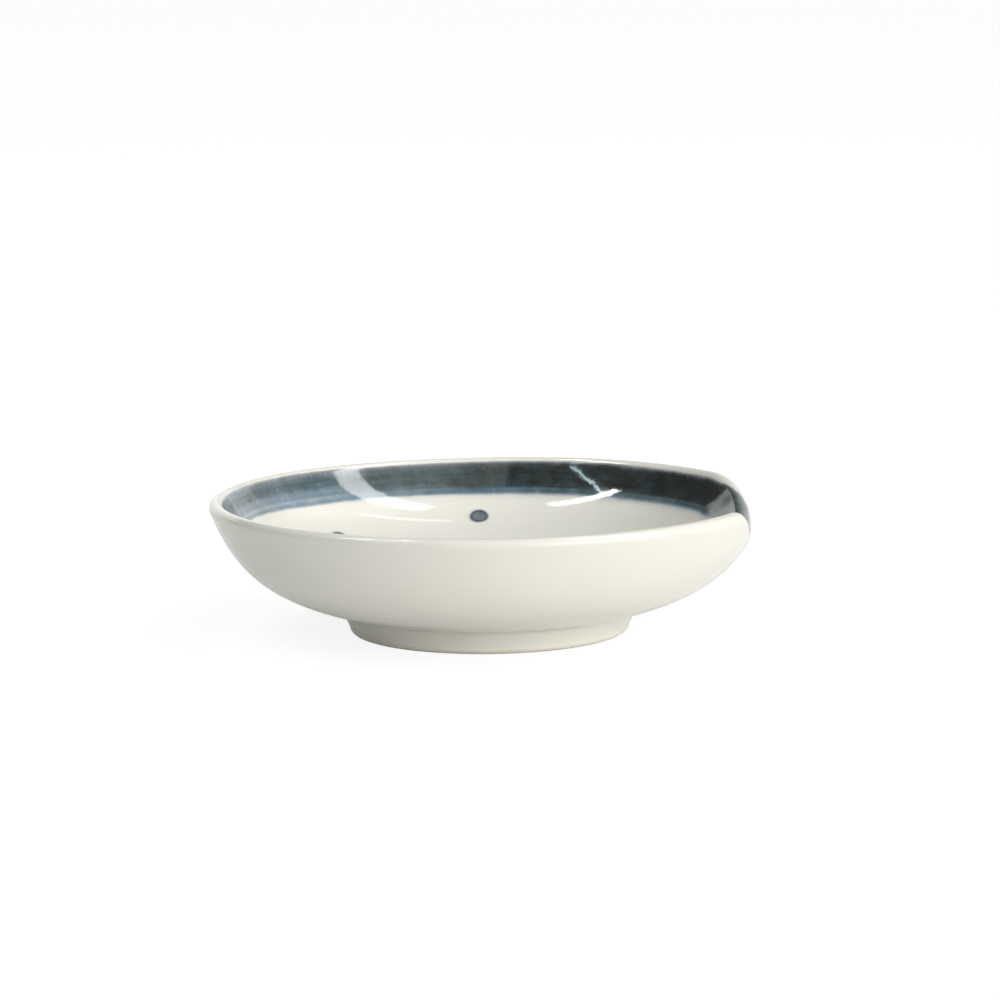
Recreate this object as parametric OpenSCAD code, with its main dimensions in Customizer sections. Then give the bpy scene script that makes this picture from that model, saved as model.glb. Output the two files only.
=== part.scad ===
// Soy sauce dish: a shallow porcelain dish on a turned foot ring. Its rim is a
// true circle but for one low dip at the +X side, and the rounded lip follows
// the dip down. A brushed band runs round the inside just below the lip, and
// six brushed dots sit lower on the inner wall.
// The dish stands on z = 0 with its axis on Z. Angles run from +X towards +Y.

/* [Rim] */
// Outer diameter of the rim
rim_d = 100; // [80:1:130]
// Height of the rim above the table
rim_h = 24.4; // [20:0.2:32]
// Thickness of the wall at the lip
lip_w = 2.1; // [1.6:0.1:3]
// Slope of the wall just below the lip, in degrees from level
lip_slope = 69; // [60:1:80]

/* [Floor] */
// Thickness of the floor at the middle
floor_t = 2.8; // [2:0.1:4]
// How far the underside inside the foot rises to the middle
underside_rise = 0.2; // [0.1:0.1:0.6]
// Slope of the outer wall where it leaves the foot, in degrees from level
base_slope = 12.5; // [5:0.5:25]

/* [Foot ring] */
// Outer diameter of the foot where it meets the bowl
foot_d = 53.2; // [44:0.2:62]
// Height of the foot
foot_h = 4.2; // [3:0.1:6]
// Width of the foot at the top
foot_w = 3.6; // [2.6:0.1:5]
// How far the outer side leans in from the top to the base
foot_lean_out = 1.4; // [0.4:0.1:2]
// How far the inner side leans out from the top to the base
foot_lean_in = 0.4; // [0.1:0.1:0.8]
// Radius of the outer bottom edge
foot_edge_r = 1.3; // [0.5:0.1:1.5]
// Radius of the inner bottom edge
foot_inner_edge_r = 0.4; // [0.2:0.1:0.6]

/* [Dip in the rim] */
// Depth of the dip at its lowest point
dip_depth = 6.5; // [3:0.1:8]
// Angle of its lowest point
dip_angle = -4; // [-30:1:30]
// Angle from the lowest point to the end of the long side
dip_long_half = 36; // [24:1:60]
// Angle from the lowest point to the end of the short side
dip_short_half = 25; // [18:1:50]
// Bluntness of the short side, where 1 is a plain wave
dip_short_power = 1.5; // [1:0.1:2]

/* [Brushed band] */
// Height of the band on the wall
band_w = 5.3; // [3:0.1:8]
// Bare glaze between the lip's rounding and the band's upper edge
band_gap = 0.45; // [0.1:0.05:1]
// Thickness of the band, which lies flush in the wall
band_t = 0.25; // [0.15:0.05:0.4]
// How much higher the band's lower edge lies on the -X side than on the +X side
band_tilt = 0.8; // [0:0.1:1.5]
// Angle of the middle of the stretch of lip that the band covers in the dip
cover_angle = 6.5; // [-20:0.5:20]
// Angle from there to either end of the covered stretch
cover_half = 24; // [16:1:40]

/* [Brushed dots] */
// Diameter of a dot
dot_d = 3.4; // [2:0.1:5]
// Thickness of a dot
dot_t = 0.3; // [0.2:0.05:0.6]
// How far below the band's lower edge the highest dot's middle lies
dot_drop = 3.9; // [3:0.1:5]
// How much lower the lowest dot lies than the highest
dot_wander = 1.1; // [0:0.1:1.5]

/* [Hidden] */

// Angle of each dot: back, back left, front left, front, front right, back right
dot_angles = [92, 139, 198, 262, 318, 22];
// How far down its wander each of them lies
dot_low_shares = [0, 1, 0.3, 0.5, 0.1, 0.6];

// Sections in the dip and round the rest of the dish, and steps along each
// stretch of a section
dip_sections = 24;
plain_sections = 66;
outer_steps = 14;
lip_steps = 8;
band_steps = 7;
inner_steps = 11;
edge_steps = 6;
solve_steps = 20;
dish_fn = 128;

// Reach of each curve's handles, as shares of the curve's own width or height
outer_base_share = 0.61;
outer_lip_share = 0.585;
inner_floor_share = 0.65;
inner_lip_share = 0.66;

// How much of the lip the band covers in the dip, and how much of the covered
// stretch at each end it takes to climb there
lip_cover_share = 0.8;
climb_share = 0.66;
// How much of its width the band loses at the bottom of the dip
band_narrow_share = 0.7;
// A dot's stand-off from the curved wall behind it, as a share of its diameter
dot_lift_share = 0.045;
// Height of a dot's rounded edge, as a share of its thickness
dot_edge_share = 0.6;

rim_r = rim_d / 2;
foot_r = foot_d / 2;
foot_inner_r = foot_r - foot_w;
underside_z = foot_h + underside_rise;
floor_z = underside_z + floor_t;

// Middle of the lip's rounding, and where the wall's two sides meet it
lip_mid = [rim_r - lip_w / 2, rim_h - lip_w / 2];
lip_out = lip_mid + lip_w / 2 * along(lip_slope - 90);
lip_in = lip_mid + lip_w / 2 * along(lip_slope + 90);

// The wall's outer side, from the foot up to the lip
joint_at = [foot_r, foot_h];
outer_curve = [
    joint_at,
    joint_at + outer_base_share * (rim_r - foot_r) * along(base_slope),
    lip_out - outer_lip_share * (lip_out[1] - foot_h) * along(lip_slope),
    lip_out
];

// The wall's inner side, from the lip down to the middle of the floor
inner_curve = [
    lip_in,
    lip_in - inner_lip_share * (lip_in[1] - floor_z) * along(lip_slope),
    [inner_floor_share * lip_in[0], floor_z],
    [0, floor_z]
];

// Unit vector at an angle from level, in the plane of a section
function along(a) = [cos(a), sin(a)];

// Point and unit direction on a cubic curve with four control points
function curve_at(p, t) =
    pow(1 - t, 3) * p[0] + 3 * pow(1 - t, 2) * t * p[1]
    + 3 * (1 - t) * t * t * p[2] + pow(t, 3) * p[3];
function curve_dir(p, t) =
    unit(pow(1 - t, 2) * (p[1] - p[0]) + 2 * (1 - t) * t * (p[2] - p[1])
         + t * t * (p[3] - p[2]));
function unit(v) = v / norm(v);

// Share of the way along a curve that is rising (up = 1) or falling (up = -1)
// at which it reaches height z, found by halving the interval
function share_at_height(p, z, up, low = 0, high = 1, left = solve_steps) =
    left == 0 ? (low + high) / 2
    : let (mid = (low + high) / 2)
      up * (curve_at(p, mid)[1] - z) < 0
      ? share_at_height(p, z, up, mid, high, left - 1)
      : share_at_height(p, z, up, low, mid, left - 1);

// Turn from angle b to angle a, between -180 and 180 degrees
function turn_between(a, b) = (a - b + 540) % 360 - 180;

// Fall of the rim at angle a
function dip_share(a) =
    let (turn = turn_between(a, dip_angle),
         half = turn > 0 ? dip_long_half : dip_short_half,
         power = turn > 0 ? 1 : dip_short_power,
         way = min(1, abs(turn) / half))
    (1 + cos(180 * pow(way, power))) / 2;
function rim_fall(a) = dip_depth * dip_share(a);
function soft_step(x) = let (y = min(1, max(0, x))) y * y * (3 - 2 * y);

// The lip's rounding at angle a, from the outer side over to the inner side
function lip_curve(a) =
    let (t_out = share_at_height(outer_curve, lip_out[1] - rim_fall(a), 1),
         t_in = share_at_height(inner_curve, lip_in[1] - rim_fall(a), -1),
         from = curve_at(outer_curve, t_out),
         to = curve_at(inner_curve, t_in),
         reach = norm(to - from) * 2 / 3)
    [from, from + reach * curve_dir(outer_curve, t_out),
     to - reach * curve_dir(inner_curve, t_in), to];

// Height of the band's lower edge at angle a. It keeps a part of its width
// below the lip where the dip cuts into it.
function band_low(a) =
    lip_in[1] - rim_fall(a) - band_w * (1 - band_narrow_share * dip_share(a))
    - band_tilt * (1 + cos(a)) / 2;

// The way from the outer end of the lip (0) over it to its inner end (1) and
// down the wall to the band's lower edge (2)
function inside_at(a, s) =
    s < 1 ? curve_at(lip_curve(a), s) : curve_at(inner_curve, wall_share(a, s));
function inside_dir(a, s) =
    s < 1 ? curve_dir(lip_curve(a), s) : curve_dir(inner_curve, wall_share(a, s));
function wall_share(a, s) =
    let (top = share_at_height(inner_curve, lip_in[1] - rim_fall(a), -1),
         low = share_at_height(inner_curve, band_low(a), -1))
    top + (s - 1) * (low - top);

// Where on that way the band's upper edge lies: a gap below the lip, but up over
// the lip in the dip
function band_top(a) =
    let (from_end = 1 - abs(turn_between(a, cover_angle)) / cover_half,
         climb = soft_step(from_end / climb_share),
         gap = band_gap / (lip_in[1] - rim_fall(a) - band_low(a)))
    1 + gap * (1 - climb) - lip_cover_share * climb;
function band_way(a, i) = band_top(a) + (2 - band_top(a)) * i / band_steps;

// The band's face, and the seat that holds it, as points of a section
function band_face(a) = [for (i = [0 : band_steps]) inside_at(a, band_way(a, i))];
function band_seat(a) = [
    for (i = [0 : band_steps])
        let (s = band_way(a, i), d = inside_dir(a, s))
        inside_at(a, s) + band_t * [-d[1], d[0]]
];

// Section of the bowl at angle a, from the foot's inner edge out, up the wall,
// over the lip, along the band's seat and down to the floor
function bowl_section(a) =
    let (t_out = share_at_height(outer_curve, lip_out[1] - rim_fall(a), 1),
         top = band_top(a),
         low = wall_share(a, 2))
    concat(
        [[foot_inner_r, foot_h]],
        [for (i = [0 : outer_steps]) curve_at(outer_curve, t_out * i / outer_steps)],
        [for (i = [1 : lip_steps]) inside_at(a, top * i / lip_steps)],
        band_seat(a),
        [for (i = [0 : inner_steps - 1])
            curve_at(inner_curve, low + (1 - low) * i / inner_steps)]
    );

// Section of the band at angle a, down its face and back up its seat
function band_section(a) =
    let (seat = band_seat(a))
    concat([for (i = [band_steps : -1 : 0]) seat[i]], band_face(a));

// Angles of the sections, closer together in the dip, and a section's points
// turned to its angle
dip_start = dip_angle - dip_short_half;
dip_sweep = dip_short_half + dip_long_half;
section_angles = concat(
    [for (i = [0 : dip_sections - 1]) dip_start + dip_sweep * i / dip_sections],
    [for (i = [0 : plain_sections - 1])
        dip_start + dip_sweep + (360 - dip_sweep) * i / plain_sections]
);
section_count = len(section_angles);
function turned(section, a) = [for (p = section) [p[0] * cos(a), p[0] * sin(a), p[1]]];

// Two triangles between neighbouring sections, and a fan of them at a pole
function quad_faces(i, j, next_j, count) =
    let (k = (i + 1) % section_count)
    [[i * count + j, i * count + next_j, k * count + next_j],
     [i * count + j, k * count + next_j, k * count + j]];
function fan_face(i, j, count, pole, up) =
    let (here = i * count + j, next = (i + 1) % section_count * count + j)
    up ? [here, pole, next] : [pole, here, next];

// A round solid through open sections, closed at two poles on the axis
module poled_loft(sections, low_pole, high_pole) {
    count = len(sections[0]);
    low_index = count * section_count;
    points = concat([for (s = sections) each s], [low_pole, high_pole]);
    faces = [
        for (i = [0 : section_count - 1]) each concat(
            [fan_face(i, 0, count, low_index, false)],
            [for (j = [0 : count - 2]) each quad_faces(i, j, j + 1, count)],
            [fan_face(i, count - 1, count, low_index + 1, true)]
        )
    ];
    polyhedron(points, faces);
}

// A ring through closed sections
module ring_loft(sections) {
    count = len(sections[0]);
    faces = [
        for (i = [0 : section_count - 1], j = [0 : count - 1])
            each quad_faces(i, j, (j + 1) % count, count)
    ];
    polyhedron([for (s = sections) each s], faces);
}

// Porcelain wall and floor in one piece, with the band's shallow seat in it
module bowl() {
    color("ivory")
        poled_loft(
            [for (a = section_angles) turned(bowl_section(a), a)],
            [0, 0, underside_z],
            [0, 0, floor_z]
        );
}

// Foot ring, turned true, flat where it stands and flat where the bowl sits
module foot_ring() {
    base_out = foot_r - foot_lean_out;
    base_in = foot_inner_r + foot_lean_in;
    color("antiquewhite")
        rotate_extrude($fn = dish_fn)
            polygon(concat(
                [[foot_inner_r, foot_h], [base_in, foot_inner_edge_r]],
                [for (i = [1 : edge_steps])
                    [base_in + foot_inner_edge_r, foot_inner_edge_r]
                    + foot_inner_edge_r * along(180 + 90 * i / edge_steps)],
                [for (i = [0 : edge_steps])
                    [base_out - foot_edge_r, foot_edge_r]
                    + foot_edge_r * along(-90 + 90 * i / edge_steps)],
                [joint_at]
            ));
}

// Band of cobalt slip, brushed on inside the lip and over it in the dip
module brushed_band() {
    color("darkslategray")
        ring_loft([for (a = section_angles) turned(band_section(a), a)]);
}

// One of the dots of cobalt slip on the inner wall, with a soft edge
module dot(i) {
    height = band_low(90) - dot_drop - dot_wander * dot_low_shares[i];
    share = share_at_height(inner_curve, height, -1);
    place = curve_at(inner_curve, share);
    uphill = -curve_dir(inner_curve, share);
    r = dot_d / 2;
    edge = dot_t * dot_edge_share;
    color("slategray")
        rotate([0, 0, dot_angles[i]])
            translate([place[0], 0, place[1]])
                rotate([0, -atan2(uphill[1], uphill[0]), 0])
                    translate([0, 0, dot_d * dot_lift_share])
                        rotate_extrude($fn = dish_fn)
                            polygon([[0, 0], [r, 0], [r, dot_t - edge],
                                     [r - edge, dot_t], [0, dot_t]]);
}

module dot_back() {
    dot(0);
}

module dot_back_left() {
    dot(1);
}

module dot_front_left() {
    dot(2);
}

module dot_front() {
    dot(3);
}

module dot_front_right() {
    dot(4);
}

module dot_back_right() {
    dot(5);
}

bowl();
foot_ring();
brushed_band();
dot_back();
dot_back_left();
dot_front_left();
dot_front();
dot_front_right();
dot_back_right();
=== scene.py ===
import math
from functools import lru_cache

import bmesh
import bpy
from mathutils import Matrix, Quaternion, Vector


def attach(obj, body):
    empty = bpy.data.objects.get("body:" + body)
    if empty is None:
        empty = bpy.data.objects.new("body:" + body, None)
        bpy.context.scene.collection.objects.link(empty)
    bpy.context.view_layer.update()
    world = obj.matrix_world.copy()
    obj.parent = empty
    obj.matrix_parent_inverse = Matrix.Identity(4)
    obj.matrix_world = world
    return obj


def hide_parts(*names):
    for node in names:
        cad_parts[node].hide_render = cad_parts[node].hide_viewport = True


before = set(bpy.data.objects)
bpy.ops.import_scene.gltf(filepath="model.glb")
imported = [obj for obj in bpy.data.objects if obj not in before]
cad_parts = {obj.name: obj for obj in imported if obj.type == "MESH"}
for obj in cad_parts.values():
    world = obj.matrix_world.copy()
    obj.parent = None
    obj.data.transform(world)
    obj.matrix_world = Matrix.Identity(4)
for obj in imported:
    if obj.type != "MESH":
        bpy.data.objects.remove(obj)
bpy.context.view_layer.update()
scene = bpy.context.scene


# The bowl
# One wall of porcelain, jiggered in a mould from the middle of the floor out to a rounded lip.
# The lip dips low at the +X side, and a shallow seat for the painted band runs round the inside.
rim_r = 0.05
rim_h = 0.0244
lip_w = 0.0026
lip_slope = 69
floor_t = 0.0028
underside_rise = 0.0002
base_slope = 12.5
outer_base_share = 0.61  # how far the ends of a curve pull it straight, as shares of its reach
outer_lip_share = 0.585
inner_lip_share = 0.66
inner_floor_share = 0.65
foot_r = 0.0266
foot_inner_r = 0.023
foot_h = 0.0042
dip_depth = 0.0065
dip_angle = -4
dip_long_half = 36
dip_short_half = 25
dip_short_power = 1.5
rim_warps = ((105, 45, 0.00022), (161, 27, -0.0003))  # middle and half width in degrees, fall
band_w = 0.0053
band_gap = 0.0002
band_t = 0.00025
band_tilt = 0.0008
cover_angle = 3.5
cover_half = 23
cover_soft_share = 0.85
lip_cover_share = 0.8
band_narrow_share = 0.7
band_fade = 0.2  # how far the band's soft edges run past the paint, as a share of its width
sections = 288
underside_steps = 8
outside_steps = 44
lip_steps = 16
bowl_seat_steps = 26
inside_steps = 48
halvings = 24
weld_gap = 1e-7


def along(slope):
    """Unit vector (outwards, up) at a slope in degrees from level."""
    return Vector((math.cos(math.radians(slope)), math.sin(math.radians(slope))))


def curve_at(curve, t):
    a, b, c, d = curve
    u = 1 - t
    return u * u * u * a + 3 * u * u * t * b + 3 * u * t * t * c + t * t * t * d


def curve_dir(curve, t):
    a, b, c, d = curve
    u = 1 - t
    return (u * u * (b - a) + 2 * u * t * (c - b) + t * t * (d - c)).normalized()


def share_at_height(curve, height, rising):
    """Share of the way along a curve, found by halving, at which it reaches this height."""
    low, high = 0, 1
    for _ in range(halvings):
        middle = (low + high) / 2
        if (curve_at(curve, middle).y < height) == rising:
            low = middle
        else:
            high = middle
    return (low + high) / 2


def soft_step(x):
    x = min(1, max(0, x))
    return x * x * (3 - 2 * x)


def turn_between(a, b):
    """Turn from angle b to angle a, from -180 to 180 degrees."""
    return (a - b + 540) % 360 - 180


underside_z = foot_h + underside_rise
floor_z = underside_z + floor_t
foot_joint = Vector((foot_r, foot_h))
lip_middle = Vector((rim_r - lip_w / 2, rim_h - lip_w / 2))
lip_out = lip_middle + lip_w / 2 * along(lip_slope - 90)
lip_in = lip_middle + lip_w / 2 * along(lip_slope + 90)
outer_curve = (
    foot_joint,
    foot_joint + outer_base_share * (rim_r - foot_r) * along(base_slope),
    lip_out - outer_lip_share * (lip_out.y - foot_h) * along(lip_slope),
    lip_out,
)
inner_curve = (
    lip_in,
    lip_in - inner_lip_share * (lip_in.y - floor_z) * along(lip_slope),
    Vector((inner_floor_share * lip_in.x, floor_z)),
    Vector((0, floor_z)),
)


def dip_share(turn):
    """How far the rim has dropped into the dip at this angle, from 0 to 1."""
    away = turn_between(turn, dip_angle)
    half, power = (dip_long_half, 1) if away > 0 else (dip_short_half, dip_short_power)
    return (1 + math.cos(math.pi * min(1, abs(away) / half) ** power)) / 2


def rim_warp(turn):
    """The slight warp that firing left in the rim, as a fall in metres at this angle."""
    fall = 0
    for middle, half, deepest in rim_warps:
        away = min(1, abs(turn_between(turn, middle)) / half)
        fall += deepest * math.cos(math.pi / 2 * away) ** 2
    return fall


@lru_cache(maxsize=None)
def section_at(turn):
    """The section at this angle: where the outer wall ends, the lip's curve, the shares of the
    inner wall where the lip and the band end, and where the band's upper edge lies."""
    dropped = dip_share(turn)
    fall = dip_depth * dropped + rim_warp(turn)
    out_end = share_at_height(outer_curve, lip_out.y - fall, True)
    in_start = share_at_height(inner_curve, lip_in.y - fall, False)
    start, end = curve_at(outer_curve, out_end), curve_at(inner_curve, in_start)
    reach = (end - start).length * 2 / 3
    lip = (
        start,
        start + reach * curve_dir(outer_curve, out_end),
        end - reach * curve_dir(inner_curve, in_start),
        end,
    )
    width = band_w * (1 - band_narrow_share * dropped)
    tilt = band_tilt * (1 + math.cos(math.radians(turn))) / 2
    band_end = share_at_height(inner_curve, lip_in.y - fall - width - tilt, False)
    climb = soft_step((1 - abs(turn_between(turn, cover_angle)) / cover_half) / cover_soft_share)
    band_top = 1 + band_gap / (width + tilt) * (1 - climb) - lip_cover_share * climb
    return out_end, lip, in_start, band_end, band_top


def inside_at(turn, way):
    """Point and direction on the way over the lip (0 to 1) and down to the band's end (2)."""
    _, lip, in_start, band_end, _ = section_at(turn)
    if way < 1:
        return curve_at(lip, way), curve_dir(lip, way)
    share = in_start + (way - 1) * (band_end - in_start)
    return curve_at(inner_curve, share), curve_dir(inner_curve, share)


def band_way(turn, share):
    """The way at a share of the band piece's width, which runs past the paint at both edges."""
    top = section_at(turn)[4] - band_fade
    return top + (2 + band_fade - top) * share


def band_seat(turn, share):
    point, down = inside_at(turn, band_way(turn, share))
    return point + band_t * Vector((-down.y, down.x))


def bowl_point(stretch, share, turn):
    out_end, _, in_start, band_end, _ = section_at(turn)
    if stretch == "underside":
        return Vector((foot_inner_r * share, underside_z + (foot_h - underside_z) * share * share))
    if stretch == "outside":
        return curve_at(outer_curve, out_end * share)
    if stretch == "lip":
        return inside_at(turn, band_way(turn, 0) * share)[0]
    if stretch == "seat":
        return band_seat(turn, share)
    low = in_start + (1 + band_fade) * (band_end - in_start)
    return curve_at(inner_curve, low + (1 - low) * share)


def turned_rings(steps, closed=False):
    """A row of points, numbered by how far out they lie, turned through a full circle."""
    rings = bmesh.new()
    row = [rings.verts.new((step + 1, 0, 0)) for step in range(steps)]
    links = [rings.edges.new(pair) for pair in zip(row, row[1:])]
    if closed:
        links.append(rings.edges.new((row[-1], row[0])))
    bmesh.ops.spin(
        rings, geom=row + links, cent=(0, 0, 0), axis=(0, 0, 1), angle=math.tau,
        steps=sections, use_merge=True,
    )
    return rings


def step_and_turn(vert):
    step = round(math.hypot(vert.co.x, vert.co.y)) - 1
    return step, round(math.degrees(math.atan2(vert.co.y, vert.co.x)), 3)


def crease(rings, steps):
    """Marks the rings at these steps as sharp edges."""
    for edge in rings.edges:
        found = {step_and_turn(vert)[0] for vert in edge.verts}
        edge.smooth = not (len(found) == 1 and found <= set(steps))


def place_rings(rings, point_at):
    """Moves each point of the rings to its place on the dish."""
    for vert in rings.verts:
        step, turn = step_and_turn(vert)
        r, z = point_at(step, turn)
        angle = math.radians(turn)
        vert.co = (r * math.cos(angle), r * math.sin(angle), z)


def finished_piece(name, shape, material):
    """Welds a shape, turns its faces outwards and makes it an object."""
    bmesh.ops.remove_doubles(shape, verts=shape.verts, dist=weld_gap)
    bmesh.ops.recalc_face_normals(shape, faces=shape.faces)
    for face in shape.faces:
        face.smooth = True
    mesh = bpy.data.meshes.new(name)
    shape.to_mesh(mesh)
    shape.free()
    mesh.materials.append(material)
    piece = bpy.data.objects.new(name, mesh)
    scene.collection.objects.link(piece)
    return piece


def add(tree, kind, sockets=None, **settings):
    """A new node. Each socket gets a link where its value is another node's output."""
    made = tree.nodes.new(kind)
    for name, value in settings.items():
        setattr(made, name, value)
    for key, value in (sockets or {}).items():
        if isinstance(value, bpy.types.NodeSocket):
            tree.links.new(value, made.inputs[key])
        else:
            made.inputs[key].default_value = value
    return made


def tint(tree, share, first, second):
    """The first colour mixed with a share of the second."""
    mix = add(tree, "ShaderNodeMix", {0: share, 6: first, 7: second}, data_type="RGBA")
    return mix.outputs[2]


def maths(tree, operation, first, second=0.0, third=0.0):
    sockets = {0: first, 1: second, 2: third}
    return add(tree, "ShaderNodeMath", sockets, operation=operation).outputs[0]


def remap(tree, value, from_low, from_high, to_low=0.0, to_high=1.0, smooth=True):
    sockets = {"Value": value, 1: from_low, 2: from_high, 3: to_low, 4: to_high}
    kind = "SMOOTHSTEP" if smooth else "LINEAR"
    return add(tree, "ShaderNodeMapRange", sockets, interpolation_type=kind).outputs[0]


def cloud(tree, place, scale, detail=2.0):
    sockets = {"Vector": place, "Scale": scale, "Detail": detail}
    return add(tree, "ShaderNodeTexNoise", sockets).outputs["Fac"]


def rgb(red, green, blue):
    """A colour as it is written for a screen, from 0 to 255, in the renderer's own light."""
    shares = [value / 255 for value in (red, green, blue)]
    return (*[s / 12.92 if s < 0.04045 else ((s + 0.055) / 1.055) ** 2.4 for s in shares], 1)


def new_group(name, inputs, outputs):
    """A node group with named sockets, and its input and output nodes."""
    group = bpy.data.node_groups.new(name, "ShaderNodeTree")
    for socket, kind in inputs.items():
        group.interface.new_socket(socket, in_out="INPUT", socket_type="NodeSocket" + kind)
    for socket, kind in outputs.items():
        group.interface.new_socket(socket, in_out="OUTPUT", socket_type="NodeSocket" + kind)
    return group, group.nodes.new("NodeGroupInput"), group.nodes.new("NodeGroupOutput")


def new_material(name):
    """A material, its tree and its place on the object."""
    material = bpy.data.materials.new(name)
    material.use_nodes = True
    tree = material.node_tree
    return material, tree, add(tree, "ShaderNodeTexCoord").outputs["Object"]


def use_group(tree, group, sockets):
    """Places a group in a tree, and gives its outputs."""
    return add(tree, "ShaderNodeGroup", sockets, node_tree=group).outputs


def finish_glaze(tree, colour, roughness, height, ior):
    """Gives the surface shader its colour, its gloss and the fine relief of the glaze's skin."""
    surface = tree.nodes["Principled BSDF"].inputs
    relief = add(tree, "ShaderNodeBump", {"Height": height, "Distance": skin_relief})
    tree.links.new(colour, surface["Base Color"])
    tree.links.new(roughness, surface["Roughness"])
    tree.links.new(relief.outputs["Normal"], surface["Normal"])
    surface["IOR"].default_value = ior


# Clear glaze over white porcelain: faint clouds in the ivory, a green-grey cast where the glaze
# pools, a rare iron speck, and a skin with a very slight orange peel.
skin_relief = 0.000012
glaze_ior = 1.6
clear_white = rgb(240, 238, 229)
clouded_white = rgb(236, 234, 224)
pool_green = rgb(205, 210, 198)
speck_brown = rgb(150, 138, 116)

porcelain_group, given, made = new_group(
    "glazed_porcelain",
    {"Place": "Vector", "Pooling": "Float"},
    {"Color": "Color", "Roughness": "Float", "Height": "Float"},
)
place = given.outputs["Place"]
ivory = tint(porcelain_group, cloud(porcelain_group, place, 60), clouded_white, clear_white)
glaze_pool_and_lip_shade = maths(porcelain_group, "MULTIPLY", given.outputs["Pooling"], 0.75)
ivory = tint(porcelain_group, glaze_pool_and_lip_shade, ivory, pool_green)
speck = add(porcelain_group, "ShaderNodeTexVoronoi", {"Vector": place, "Scale": 210.0})
chosen = add(porcelain_group, "ShaderNodeSeparateColor", {0: speck.outputs["Color"]}).outputs[0]
chosen = maths(porcelain_group, "GREATER_THAN", chosen, 0.94)
inked = remap(porcelain_group, speck.outputs["Distance"], 0.02, 0.04, 0.5, 0.0)
inked = maths(porcelain_group, "MULTIPLY", inked, chosen)
ivory = tint(porcelain_group, inked, ivory, speck_brown)
skin = cloud(porcelain_group, place, 650, 1.0)
swell = cloud(porcelain_group, place, 130, 1.0)
height = maths(porcelain_group, "MULTIPLY_ADD", skin, 0.25, swell)
roughness = remap(porcelain_group, cloud(porcelain_group, place, 300), 0.3, 0.7, 0.05, 0.09)
for socket, value in (("Color", ivory), ("Roughness", roughness), ("Height", height)):
    porcelain_group.links.new(value, made.inputs[socket])

porcelain, tree, place = new_material("glazed_porcelain")
glaze = use_group(tree, porcelain_group, {"Place": place, "Pooling": 0.0})
finish_glaze(tree, glaze["Color"], glaze["Roughness"], glaze["Height"], glaze_ior)

bowl_rows = (
    [("underside", step / underside_steps) for step in range(underside_steps + 1)]
    + [("outside", step / outside_steps) for step in range(outside_steps + 1)]
    + [("lip", step / lip_steps) for step in range(1, lip_steps + 1)]
    + [("seat", step / bowl_seat_steps) for step in range(bowl_seat_steps + 1)]
    + [("inside", step / inside_steps) for step in range(inside_steps + 1)]
)
stretch_names = [row[0] for row in bowl_rows]
bowl_shape = turned_rings(len(bowl_rows))
seat_top = stretch_names.index("seat")
inside_start = stretch_names.index("inside")
outside_start = stretch_names.index("outside")
corners = [step for start in (outside_start, seat_top, inside_start) for step in (start - 1, start)]
crease(bowl_shape, corners)
place_rings(bowl_shape, lambda step, turn: bowl_point(*bowl_rows[step], turn))
bowl = finished_piece("bowl_wall", bowl_shape, porcelain)
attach(bowl, "root")
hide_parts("bowl")


# The foot ring
# Porcelain, luted to the underside and turned true, so it has a small soft fillet under the bowl.
# It is glazed with the bowl, but its standing edge is wiped bare so it doesn't stick in firing.
foot_lean_out = 0.0014
foot_lean_in = 0.0004
foot_edge_r = 0.0013
foot_inner_edge_r = 0.0004
fillet_reach = 0.0004
fillet_drop = 0.0004
bare_height = 0.00035
pooling_drop = 0.0014
biscuit_white = rgb(228, 224, 214)
biscuit_toast = rgb(214, 196, 170)
inner_corner_steps = 6
outer_corner_steps = 12
fillet_steps = 8

foot_glaze, tree, place = new_material("foot_glaze")
level = add(tree, "ShaderNodeSeparateXYZ", {0: place}).outputs["Z"]
wander = maths(tree, "MULTIPLY_ADD", cloud(tree, place, 260), 0.0003, level)
pooling = remap(tree, level, foot_h - pooling_drop, foot_h, 0.05, 0.3)
glaze = use_group(tree, porcelain_group, {"Place": place, "Pooling": pooling})
bare = remap(tree, wander, bare_height + 0.0001, bare_height + 0.0002, 1.0, 0.0)
toasted = remap(tree, wander, bare_height, bare_height + 0.00015, 0.0, 1.0)
biscuit = tint(tree, toasted, biscuit_white, biscuit_toast)
colour = tint(tree, bare, glaze["Color"], biscuit)
grit = maths(tree, "MULTIPLY", cloud(tree, place, 4000, 3.0), bare)
height = maths(tree, "MULTIPLY_ADD", grit, 1.5, glaze["Height"])
roughness = maths(tree, "MULTIPLY_ADD", bare, 0.6, glaze["Roughness"])
finish_glaze(tree, colour, roughness, height, glaze_ior)

foot_base_r = foot_r - foot_lean_out
foot_base_in = foot_inner_r + foot_lean_in
lean = (foot_joint - Vector((foot_base_r, foot_edge_r))).normalized()
fillet_start = foot_joint - fillet_drop * lean
fillet_end_share = fillet_reach / (3 * (outer_curve[1] - outer_curve[0]).length)
fillet_end = curve_at(outer_curve, fillet_end_share)
foot_profile = [Vector((foot_inner_r, foot_h))]
foot_profile += [
    Vector((foot_inner_r + foot_lean_in * share, foot_h + (foot_inner_edge_r - foot_h) * share))
    for share in (0.25, 0.5, 0.75)
]
inner_edge = Vector((foot_base_in + foot_inner_edge_r, foot_inner_edge_r))
foot_profile += [
    inner_edge + foot_inner_edge_r * along(180 + 90 * step / inner_corner_steps)
    for step in range(inner_corner_steps + 1)
]
outer_edge = Vector((foot_base_r - foot_edge_r, foot_edge_r))
foot_profile += [
    outer_edge + foot_edge_r * along(-90 + 90 * step / outer_corner_steps)
    for step in range(outer_corner_steps + 1)
]
wall_start = foot_profile[-1]
foot_profile += [wall_start.lerp(fillet_start, share) for share in (0.25, 0.5, 0.75, 1)]
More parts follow.
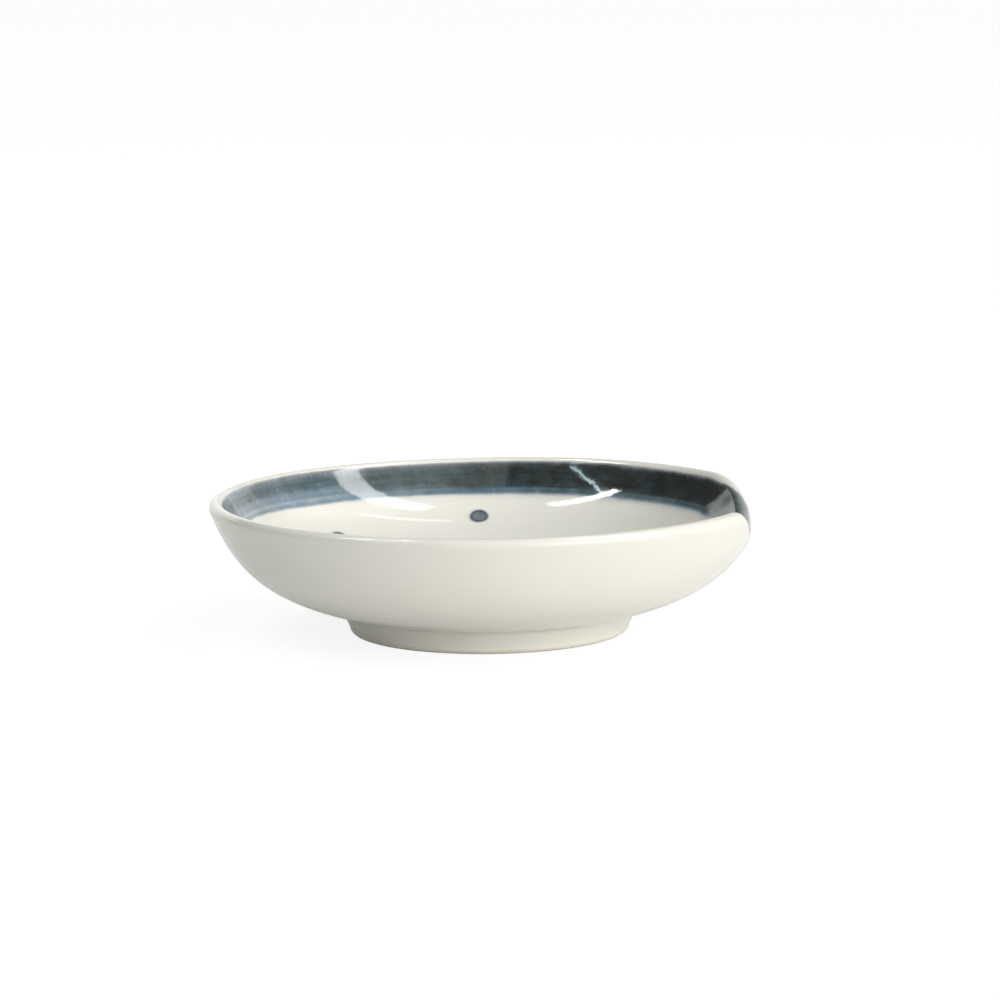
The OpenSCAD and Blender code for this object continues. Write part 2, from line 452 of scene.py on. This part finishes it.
for step in range(1, fillet_steps + 1):
    share = step / fillet_steps
    towards = fillet_start.lerp(foot_joint, share)
    foot_profile.append(towards.lerp(foot_joint.lerp(fillet_end, share), share))
fillet_tip = len(foot_profile) - 1
foot_profile.append(curve_at(outer_curve, fillet_end_share / 2))
foot_profile.append(foot_joint.copy())
foot_shape = turned_rings(len(foot_profile), closed=True)
crease(foot_shape, [0, fillet_tip, len(foot_profile) - 1])
place_rings(foot_shape, lambda step, turn: foot_profile[step])
foot_ring = finished_piece("foot_ring_turned", foot_shape, foot_glaze)
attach(foot_ring, "root")
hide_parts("foot_ring")


# The brushed band
# Cobalt slip brushed round the inside below the lip, as the dish turns on the wheel, and over the
# lip in the dip. It lies under the glaze, flush with the wall, and thins to blue at its soft edges.
band_steps = 40
seat_steps = 12
slip_glaze_ior = 1.8
wash_shades = (
    (0.0, rgb(192, 200, 204)), (0.3, rgb(116, 136, 150)), (0.55, rgb(73, 93, 101)),
    (0.75, rgb(46, 62, 64)), (1.0, rgb(23, 30, 29)),
)
full_cover = 0.22  # the thickness from which the slip hides the porcelain

# How thick the slip lies across the brushed width, from its upper edge at 0 to its lower edge
# at 1, and a little past both. The first row is for the loaded brush, from the middle to the
# right. The second is for the left, where it had run dry and left a pale line.
full_stops = (
    (-0.2, 0.0), (-0.12, 0.08), (-0.06, 0.3), (-0.01, 0.8), (0.05, 1.0), (0.3, 1.0), (0.55, 0.96),
    (0.7, 0.84), (0.76, 0.53), (0.81, 0.53), (0.86, 0.58), (0.905, 0.37), (0.95, 0.17), (1.0, 0.11),
    (1.05, 0.07), (1.12, 0.03), (1.19, 0.0),
)
pale_stops = (
    (-0.2, 0.0), (-0.12, 0.08), (-0.06, 0.3), (-0.01, 0.7), (0.05, 0.86), (0.4, 0.9), (0.48, 0.72),
    (0.58, 0.45), (0.65, 0.53), (0.71, 0.5), (0.76, 0.32), (0.83, 0.31), (0.88, 0.45),
    (0.935, 0.38), (1.0, 0.1), (1.06, 0.03), (1.17, 0.0),
)

# Where the bare lip above the paint widens towards the right: from this far out, over this
# reach, by this share of the gap.
bare_rises = ((-0.042, 0.022, 0.65), (0, 0.02, 0.35), (0.022, 0.014, 1.4))
left_start = -0.022
left_reach = 0.012
left_climb = 0.05
thin_from = 0.4
thin_reach = 0.9


def set_stops(node, stops):
    """Gives a colour ramp a stop for each (place, colour)."""
    ramp = node.color_ramp.elements
    while len(ramp) < len(stops):
        ramp.new(0.5)
    for stop, (position, colour) in zip(ramp, stops):
        stop.position = position
        stop.color = colour


def slip_amount(tree, place, rows, low, high):
    """The thickness of the slip at a place between low and high, from rows of (place, amount)."""
    node = add(tree, "ShaderNodeValToRGB", {0: remap(tree, place, low, high, smooth=False)})
    stops = [((at - low) / (high - low), (amount, amount, amount, 1)) for at, amount in rows]
    set_stops(node, stops)
    return node


# Cobalt slip under the glaze: pale blue where it is thin, then slate, then near black where the
# brush left it thick. Strokes, blotches and small flecks change how much of it there is.
slip_group, given, made = new_group(
    "brushed_slip",
    {
        "Porcelain": "Color", "Thickness": "Float", "Grey": "Float",
        "Place": "Vector", "Stroke": "Vector",
    },
    {"Color": "Color", "Height": "Float"},
)
place = given.outputs["Place"]
stroke = cloud(slip_group, given.outputs["Stroke"], 1.0, 3.0)
blotch = cloud(slip_group, place, 330, 4.0)
mottle = cloud(slip_group, place, 1500, 3.0)
thickness = given.outputs["Thickness"]
for pattern, low, high in ((stroke, 0.9, 1.1), (blotch, 0.84, 1.12), (mottle, 0.95, 1.04)):
    gain = remap(slip_group, pattern, 0.3, 0.7, low, high, smooth=False)
    thickness = maths(slip_group, "MULTIPLY", thickness, gain)
fleck = add(slip_group, "ShaderNodeTexVoronoi", {"Vector": place, "Scale": 850.0})
picked = add(slip_group, "ShaderNodeSeparateColor", {0: fleck.outputs["Color"]}).outputs[1]
crowded = remap(slip_group, cloud(slip_group, place, 210, 1.0), 0.42, 0.62, 1.02, 0.6)
picked = maths(slip_group, "GREATER_THAN", picked, crowded)
pale = remap(slip_group, fleck.outputs["Distance"], 0.0, 0.7, 0.18, 0.0)
pale = maths(slip_group, "MULTIPLY", pale, picked)
thickness = maths(slip_group, "MULTIPLY", thickness, maths(slip_group, "SUBTRACT", 1.0, pale))
wash = add(slip_group, "ShaderNodeValToRGB", {0: thickness})
set_stops(wash, wash_shades)
vivid = maths(slip_group, "SUBTRACT", 1.0, given.outputs["Grey"])
wash = {"Saturation": vivid, "Color": wash.outputs["Color"]}
wash = add(slip_group, "ShaderNodeHueSaturation", wash)
cover = remap(slip_group, thickness, 0.0, full_cover)
colour = tint(slip_group, cover, given.outputs["Porcelain"], wash.outputs["Color"])
ripple = cloud(slip_group, place, 560, 1.0)
raised = maths(slip_group, "MULTIPLY_ADD", mottle, 0.06, blotch)
raised = maths(slip_group, "MULTIPLY_ADD", ripple, 0.75, raised)
raised = maths(slip_group, "MULTIPLY", raised, given.outputs["Thickness"])
slip_group.links.new(colour, made.inputs["Color"])
slip_group.links.new(raised, made.inputs["Height"])

band_cobalt, tree, place = new_material("band_cobalt")
glaze = use_group(tree, porcelain_group, {"Place": place, "Pooling": 0.0})
across = add(tree, "ShaderNodeAttribute", attribute_name="across").outputs["Fac"]
ragged = maths(tree, "SUBTRACT", across, 0.02)
ragged = maths(tree, "MULTIPLY_ADD", cloud(tree, place, 380, 2.0), 0.04, ragged)
spreads = []
for stops in (full_stops, pale_stops):
    spread = slip_amount(tree, ragged, stops, -band_fade, 1 + band_fade)
    spread.color_ramp.interpolation = "B_SPLINE"
    spreads.append(spread.outputs["Color"])
xyz = add(tree, "ShaderNodeSeparateXYZ", {0: place}).outputs
spread = tint(tree, remap(tree, xyz["X"], -0.03, -0.021, 1.0, 0.0), *spreads)

# The tone from left to right: pale at the far left, even on the left, then darker in two steps.
left_tone = remap(tree, xyz["X"], -rim_r, -0.028, 0.6, 0.74, smooth=False)
tone = remap(tree, xyz["X"], -0.014, -0.003, 0.57, 0.92, smooth=False)
tone = maths(tree, "MAXIMUM", tone, left_tone)
right_gain = remap(tree, xyz["X"], 0.003, 0.0175, 0.0, 0.11, smooth=False)
tone = maths(tree, "ADD", tone, right_gain)
tone = maths(tree, "MULTIPLY", tone, remap(tree, xyz["X"], -0.049, -0.041, 0.75, 1.0))
thickness = maths(tree, "MULTIPLY", spread, tone)

# Fine pale lines along the lower half of the left side, where the hairs of the brush parted.
lines = add(tree, "ShaderNodeCombineXYZ", {2: maths(tree, "MULTIPLY", across, 14.0)}).outputs[0]
lines = {0: lines, 1: place, 2: (12.0, 12.0, 0.0)}
lines = add(tree, "ShaderNodeVectorMath", lines, operation="MULTIPLY_ADD")
lines = remap(tree, cloud(tree, lines.outputs[0], 1.0, 2.0), 0.4, 0.62)
where = remap(tree, xyz["X"], -0.026, -0.004, 1.0, 0.0)
where = maths(tree, "MULTIPLY", where, remap(tree, across, 0.3, 0.5))
lines = maths(tree, "MULTIPLY", maths(tree, "MULTIPLY", lines, where), -0.2)
thickness = maths(tree, "MULTIPLY_ADD", thickness, lines, thickness)

# At the front the slip is darker just below its upper edge: painted shade for the dark that the
# near lip shows on its inside.
# It is thin and grey where it runs over the lip.
glaze_pool_and_lip_shade = remap(tree, xyz["Y"], -0.008, 0.0, 0.4, 0.0)
glaze_pool_and_lip_shade = maths(tree, "MULTIPLY", glaze_pool_and_lip_shade, remap(tree, across, 0.08, 0.25, 1.0, 0.0))
thickness = maths(tree, "MULTIPLY_ADD", spread, glaze_pool_and_lip_shade, thickness)
thin = add(tree, "ShaderNodeAttribute", attribute_name="thin").outputs["Fac"]
thickness = maths(tree, "MULTIPLY", thickness, maths(tree, "MULTIPLY_ADD", thin, -0.82, 1.0))
stroke = add(tree, "ShaderNodeCombineXYZ", {
    0: maths(tree, "MULTIPLY", xyz["X"], 90.0),
    1: maths(tree, "MULTIPLY", xyz["Y"], 90.0),
    2: maths(tree, "MULTIPLY", across, 9.0),
})
edge_grey = remap(tree, across, 0.0, 0.2, 0.7, 0.0)
grey = maths(tree, "MAXIMUM", edge_grey, maths(tree, "MULTIPLY", thin, 0.9))
grey = maths(tree, "MAXIMUM", grey, remap(tree, xyz["X"], -0.048, -0.036, 0.5, 0.0))
slip = use_group(tree, slip_group, {
    "Porcelain": glaze["Color"], "Thickness": thickness, "Grey": grey,
    "Place": place, "Stroke": stroke.outputs[0],
})
height = maths(tree, "MULTIPLY_ADD", slip["Height"], 1.8, glaze["Height"])
finish_glaze(tree, slip["Color"], glaze["Roughness"], height, slip_glaze_ior)

band_rows = [("face", step / band_steps) for step in range(band_steps + 1)]
band_rows += [("seat", 1 - step / seat_steps) for step in range(seat_steps + 1)]


def band_point(step, turn):
    side, share = band_rows[step]
    if side == "face":
        return inside_at(turn, band_way(turn, share))[0]
    return band_seat(turn, share)


def paint_at(turn, share):
    """How far across the paint, from its upper edge (0) to its lower edge (1), and how far it
    thins out over the lip. On the left the brush went right up to the lip."""
    top, way = section_at(turn)[4], band_way(turn, share)
    thin = 1 - soft_step((way - thin_from) / thin_reach)
    if top > 1:
        out = math.cos(math.radians(turn)) * rim_r
        bare = sum(gain * soft_step((out - start) / reach) for start, reach, gain in bare_rises)
        top = 1 + (top - 1) * bare - left_climb * soft_step((left_start - out) / left_reach)
    return (way - top) / (2 - top), thin


band_shape = turned_rings(len(band_rows), closed=True)
crease(band_shape, [0, band_steps, band_steps + 1, len(band_rows) - 1])
across_layer = band_shape.verts.layers.float.new("across")
thin_layer = band_shape.verts.layers.float.new("thin")
for vert in band_shape.verts:
    step, turn = step_and_turn(vert)
    vert[across_layer], vert[thin_layer] = paint_at(turn, band_rows[step][1])
place_rings(band_shape, band_point)
band = finished_piece("brushed_band_inlay", band_shape, band_cobalt)
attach(band, "root")
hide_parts("brushed_band")


# The brushed dots
# Six touches of the same slip, set round the wall below the band. Each is a little domed where the
# brush was lifted, darker at its rim where the slip dried last, with a pale blue halo.
dot_r = 0.0017
dot_halo = 0.0006
dot_dome = 0.00004
dot_drop = 0.0035
dot_wander = 0.0011
dot_lift = 0.000004
dot_back_lift = 0.000002
dot_grey = 0.35
dot_oval = 0.03  # how far a dot's outline strays from a circle, as shares of its radius
dot_uneven = 0.02
dot_around = 56
dot_places = {
    "dot_back": (92.6, 0), "dot_back_left": (137.8, 1.2), "dot_front_left": (198, 0.3),
    "dot_front": (262, 0.5), "dot_front_right": (318, 0.1), "dot_back_right": (22, 0.6),
}

dot_stops = (
    (0.0, 0.4), (0.46, 0.42), (0.6, 0.58), (0.67, 0.54),
    (0.75, 0.24), (0.83, 0.1), (0.91, 0.05), (1.0, 0.0),
)

dot_cobalt, tree, place = new_material("dot_cobalt")
glaze = use_group(tree, porcelain_group, {"Place": place, "Pooling": 0.0})
out = add(tree, "ShaderNodeAttribute", attribute_name="from_middle").outputs["Fac"]
out = maths(tree, "SUBTRACT", out, 0.06)
out = maths(tree, "MULTIPLY_ADD", cloud(tree, place, 900, 2.0), 0.12, out)
spread = slip_amount(tree, out, dot_stops, 0.0, 1.0)
stroke = add(tree, "ShaderNodeVectorMath", {0: place, 3: 500.0}, operation="SCALE").outputs[0]
slip = use_group(tree, slip_group, {
    "Porcelain": glaze["Color"], "Thickness": spread.outputs["Color"], "Grey": dot_grey,
    "Place": place, "Stroke": stroke,
})
height = maths(tree, "MULTIPLY_ADD", slip["Height"], 0.8, glaze["Height"])
finish_glaze(tree, slip["Color"], glaze["Roughness"], height, slip_glaze_ior)

share_step = 0.001
dot_steps = 14


def dot_middle(lower):
    """The middle of a dot on the inner wall, its share of the way down, and metres per share."""
    height = lip_in.y - band_w - band_tilt / 2 - dot_drop - dot_wander * lower
    share = share_at_height(inner_curve, height, False)
    middle = curve_at(inner_curve, share)
    speed = (curve_at(inner_curve, share + share_step) - middle).length / share_step
    return middle, share, speed


def dot_point(step, around, turn, middle, dot_share, share_speed):
    """A dot's point: out from its middle over the dome, then back under it on the wall."""
    over = step <= dot_steps
    out = step / dot_steps if over else (2 * dot_steps + 1 - step) / dot_steps
    stray = dot_oval * math.cos(2 * around + turn) + dot_uneven * math.sin(3 * around + 2 * turn)
    reach = (dot_r + dot_halo) * out * (1 + stray)
    share = dot_share - reach * math.sin(around) / share_speed
    point, down = curve_at(inner_curve, share), curve_dir(inner_curve, share)
    lift = dot_dome * (1 - out * out) + dot_lift if over else dot_back_lift
    point = point + lift * Vector((down.y, -down.x))
    angle = math.radians(turn) - reach * math.cos(around) / middle.x
    return (point.x * math.cos(angle), point.x * math.sin(angle), point.y)


for node, (turn, lower) in dot_places.items():
    dot_shape = bmesh.new()
    row = [dot_shape.verts.new((step + 1, 0, 0)) for step in range(2 * dot_steps + 2)]
    links = [dot_shape.edges.new(pair) for pair in zip(row, row[1:])]
    bmesh.ops.spin(
        dot_shape, geom=row + links, cent=(0, 0, 0), axis=(0, 0, 1), angle=math.tau,
        steps=dot_around, use_merge=True,
    )
    crease(dot_shape, [dot_steps, dot_steps + 1])
    out_layer = dot_shape.verts.layers.float.new("from_middle")
    place_on_wall = dot_middle(lower)
    for vert in dot_shape.verts:
        step, around = step_and_turn(vert)
        vert[out_layer] = min(step, 2 * dot_steps + 1 - step) / dot_steps
        vert.co = dot_point(step, math.radians(around), turn, *place_on_wall)
    dot = finished_piece(node + "_brushed", dot_shape, dot_cobalt)
    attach(dot, "root")
    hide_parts(node)


# The floor and the room
# A white sweep that runs past the view on every side, so the dish stands on plain white. The
# camera sees nearly all its own white, with the dish's soft shadow on it. The glaze mirrors it
# as a table, with the sweep behind it brighter, and the rest of the room as dim.
floor_size = 14
table_r = 0.3
floor_glow = 0.85  # what the camera sees: this much white of its own, and a grey that takes light
floor_grey = (0.25, 0.25, 0.25, 1)
table_grey = (0.82, 0.82, 0.81, 1)
beyond_grey = (0.12, 0.12, 0.12, 1)
white = (1, 1, 1, 1)

floor_white = bpy.data.materials.new("floor_white")
floor_white.use_nodes = True
tree = floor_white.node_tree
tree.nodes.remove(tree.nodes["Principled BSDF"])
rays = add(tree, "ShaderNodeLightPath")
place = add(tree, "ShaderNodeTexCoord").outputs["Object"]
away = add(tree, "ShaderNodeVectorMath", {0: place}, operation="LENGTH").outputs["Value"]
near = remap(tree, away, table_r * 0.5, table_r * 1.5, 1.0, 0.0)
seen = maths(tree, "MAXIMUM", rays.outputs["Is Camera Ray"], rays.outputs["Is Transmission Ray"])
table = tint(tree, near, beyond_grey, table_grey)
bounce = add(tree, "ShaderNodeBsdfDiffuse", {"Color": table})
behind = add(tree, "ShaderNodeSeparateXYZ", {0: place}).outputs["Y"]
behind = remap(tree, behind, table_r * 0.4, table_r, 0.0, 0.7)
mirrored = maths(tree, "MULTIPLY_ADD", near, 0.2, behind)
mirrored = maths(tree, "MULTIPLY", rays.outputs["Is Glossy Ray"], mirrored)
mirrored = add(tree, "ShaderNodeEmission", {"Color": white, "Strength": mirrored})
bounce = add(tree, "ShaderNodeAddShader", {0: bounce.outputs[0], 1: mirrored.outputs[0]})
shaded = add(tree, "ShaderNodeBsdfDiffuse", {"Color": floor_grey})
glow = add(tree, "ShaderNodeEmission", {"Color": white, "Strength": floor_glow})
shown = add(tree, "ShaderNodeAddShader", {0: shaded.outputs[0], 1: glow.outputs[0]})
mixed = add(tree, "ShaderNodeMixShader", {0: seen, 1: bounce.outputs[0], 2: shown.outputs[0]})
tree.links.new(mixed.outputs[0], tree.nodes["Material Output"].inputs["Surface"])

floor_shape = bmesh.new()
bmesh.ops.create_grid(floor_shape, x_segments=2, y_segments=2, size=floor_size / 2)
floor_mesh = bpy.data.meshes.new("floor")
floor_shape.to_mesh(floor_mesh)
floor_shape.free()
floor_mesh.materials.append(floor_white)
floor = bpy.data.objects.new("floor", floor_mesh)
scene.collection.objects.link(floor)

# The room is dim, and the camera sees only white in its place. Lit walls stand to the right, behind
# and faintly to the left, and a glow low down at the right front. Each part of a wall is given by
# where it starts and ends going round, how low and how high it reaches, and how soft its edges
# are, all in degrees, and then its light. A light below zero cuts a dark notch in the wall.
room_level = (0.15, 0.15, 0.15)
wall_colour = Vector((0.96, 1.0, 0.98))
glow_colour = Vector((1.0, 0.965, 0.945))
wall_parts = (
    (-101, -62, 0, 66, 3, 0.5 * wall_colour), (-62, -20, 0, 66, 3, 0.74 * wall_colour),
    (-20, 46, 0, 66, 3, 0.44 * wall_colour), (44, 92, -5, 20, 6, 0.65 * wall_colour),
    (-68, -14, -12, 27, 16, 3.4 * glow_colour), (-101, -66, -12, 27, 12, 0.6 * glow_colour),
    (92, 134, -5, 25, 3, 1.05 * wall_colour), (124, 131, 8, 18, 5, -0.6 * wall_colour),
    (-172, -100, 0, 60, 12, 0.09 * wall_colour), (137, 179, 45, 75, 10, 0.3 * wall_colour),
)

world = bpy.data.worlds.new("room")
scene.world = world
world.use_nodes = True
tree = world.node_tree
looking = add(tree, "ShaderNodeTexCoord").outputs["Generated"]
axes = add(tree, "ShaderNodeSeparateXYZ", {0: looking}).outputs
around = maths(tree, "ARCTAN2", axes["Y"], axes["X"])
rise = maths(tree, "ARCSINE", axes["Z"])


def between(value, low, high, soft):
    """1 between two angles in degrees and 0 beyond them, with soft edges this wide."""
    low, high, soft = math.radians(low), math.radians(high), math.radians(soft)
    over = remap(tree, value, low - soft / 2, low + soft / 2)
    under = remap(tree, value, high - soft / 2, high + soft / 2, 1.0, 0.0)
    return maths(tree, "MULTIPLY", over, under)


lit = room_level
for start, end, low, high, soft, light in wall_parts:
    sideways, upright = between(around, start, end, soft), between(rise, low, high, soft)
    sockets = {0: maths(tree, "MULTIPLY", sideways, upright), 1: light, 2: lit}
    lit = add(tree, "ShaderNodeVectorMath", sockets, operation="MULTIPLY_ADD").outputs[0]
rays = add(tree, "ShaderNodeLightPath")
seen = maths(tree, "MAXIMUM", rays.outputs["Is Camera Ray"], rays.outputs["Is Transmission Ray"])
tree.links.new(tint(tree, seen, lit, white), tree.nodes["Background"].inputs["Color"])


# The lights
# Long softboxes, as in a product studio: the main one to the right, its far end over the dish, a
# thin one and a short one to the left, and a dim tube overhead. They show as streaks on the glaze.
dish_middle = Vector((0, 0, 0.018))


def softbox(name, start, end, near, far, width, level, shade=(1, 1, 1)):
    """A strip of light between two directions from the dish, this near at its start and this far
    off at its end."""
    start, end = near * Vector(start).normalized(), far * Vector(end).normalized()
    middle = (start + end) / 2
    length = (end - start).length
    lengthways = (end - start).normalized()
    facing = (middle - middle.dot(lengthways) * lengthways).normalized()
    lamp = bpy.data.lights.new(name, "AREA")
    lamp.shape = "RECTANGLE"
    lamp.size = width
    lamp.size_y = length
    lamp.energy = level * math.pi * width * length
    lamp.color = shade
    holder = bpy.data.objects.new(name, lamp)
    holder.location = dish_middle + middle
    turned = facing.to_track_quat("Z", "Y")
    spin = turned.inverted() @ lengthways
    spin = math.atan2(spin.y, spin.x) - math.pi / 2
    holder.rotation_mode = "QUATERNION"
    holder.rotation_quaternion = turned @ Quaternion((0, 0, 1), spin)
    scene.collection.objects.link(holder)


cool = (0.72, 0.93, 1)
warm = (1, 0.97, 0.96)
softbox("main_softbox", (0.855, -0.275, 0.43), (0.22, 0.175, 0.96), 0.95, 1.6, 0.19, 4.8)
softbox(
    "thin_softbox_left", (-0.55, -0.58, 0.6), (-0.54, -0.03, 0.84), 1.15, 1.15, 0.022, 10, cool,
)
softbox(
    "short_softbox_left", (-0.62, -0.03, 0.78), (-0.24, 0.13, 0.96), 1.13, 1.13, 0.075, 17, warm,
)
softbox("ceiling_tube", (0.41, 0.37, 0.84), (0.09, 0.42, 0.9), 1.12, 1.12, 0.028, 4)


# The camera
# A long lens 0.8 m away and 8.7 degrees above the table, at the photograph's height and tilt.
camera_distance = 0.8
camera_rise = math.radians(8.744)
camera_roll = math.radians(-0.68)
aim = Vector((0, 0, 0.024))

lens = bpy.data.cameras.new("camera")
lens.lens = 160.6
lens.sensor_width = 36
lens.sensor_fit = "HORIZONTAL"
lens.shift_x = 0.0118
lens.shift_y = -0.0025
lens.clip_start = 0.05
lens.clip_end = 50
camera = bpy.data.objects.new("camera", lens)
back = Vector((0, -math.cos(camera_rise), math.sin(camera_rise)))
camera.location = aim + camera_distance * back
camera.rotation_mode = "QUATERNION"
camera.rotation_quaternion = back.to_track_quat("Z", "Y") @ Quaternion((0, 0, 1), camera_roll)
scene.collection.objects.link(camera)
scene.camera = camera
scene.view_settings.view_transform = "Standard"
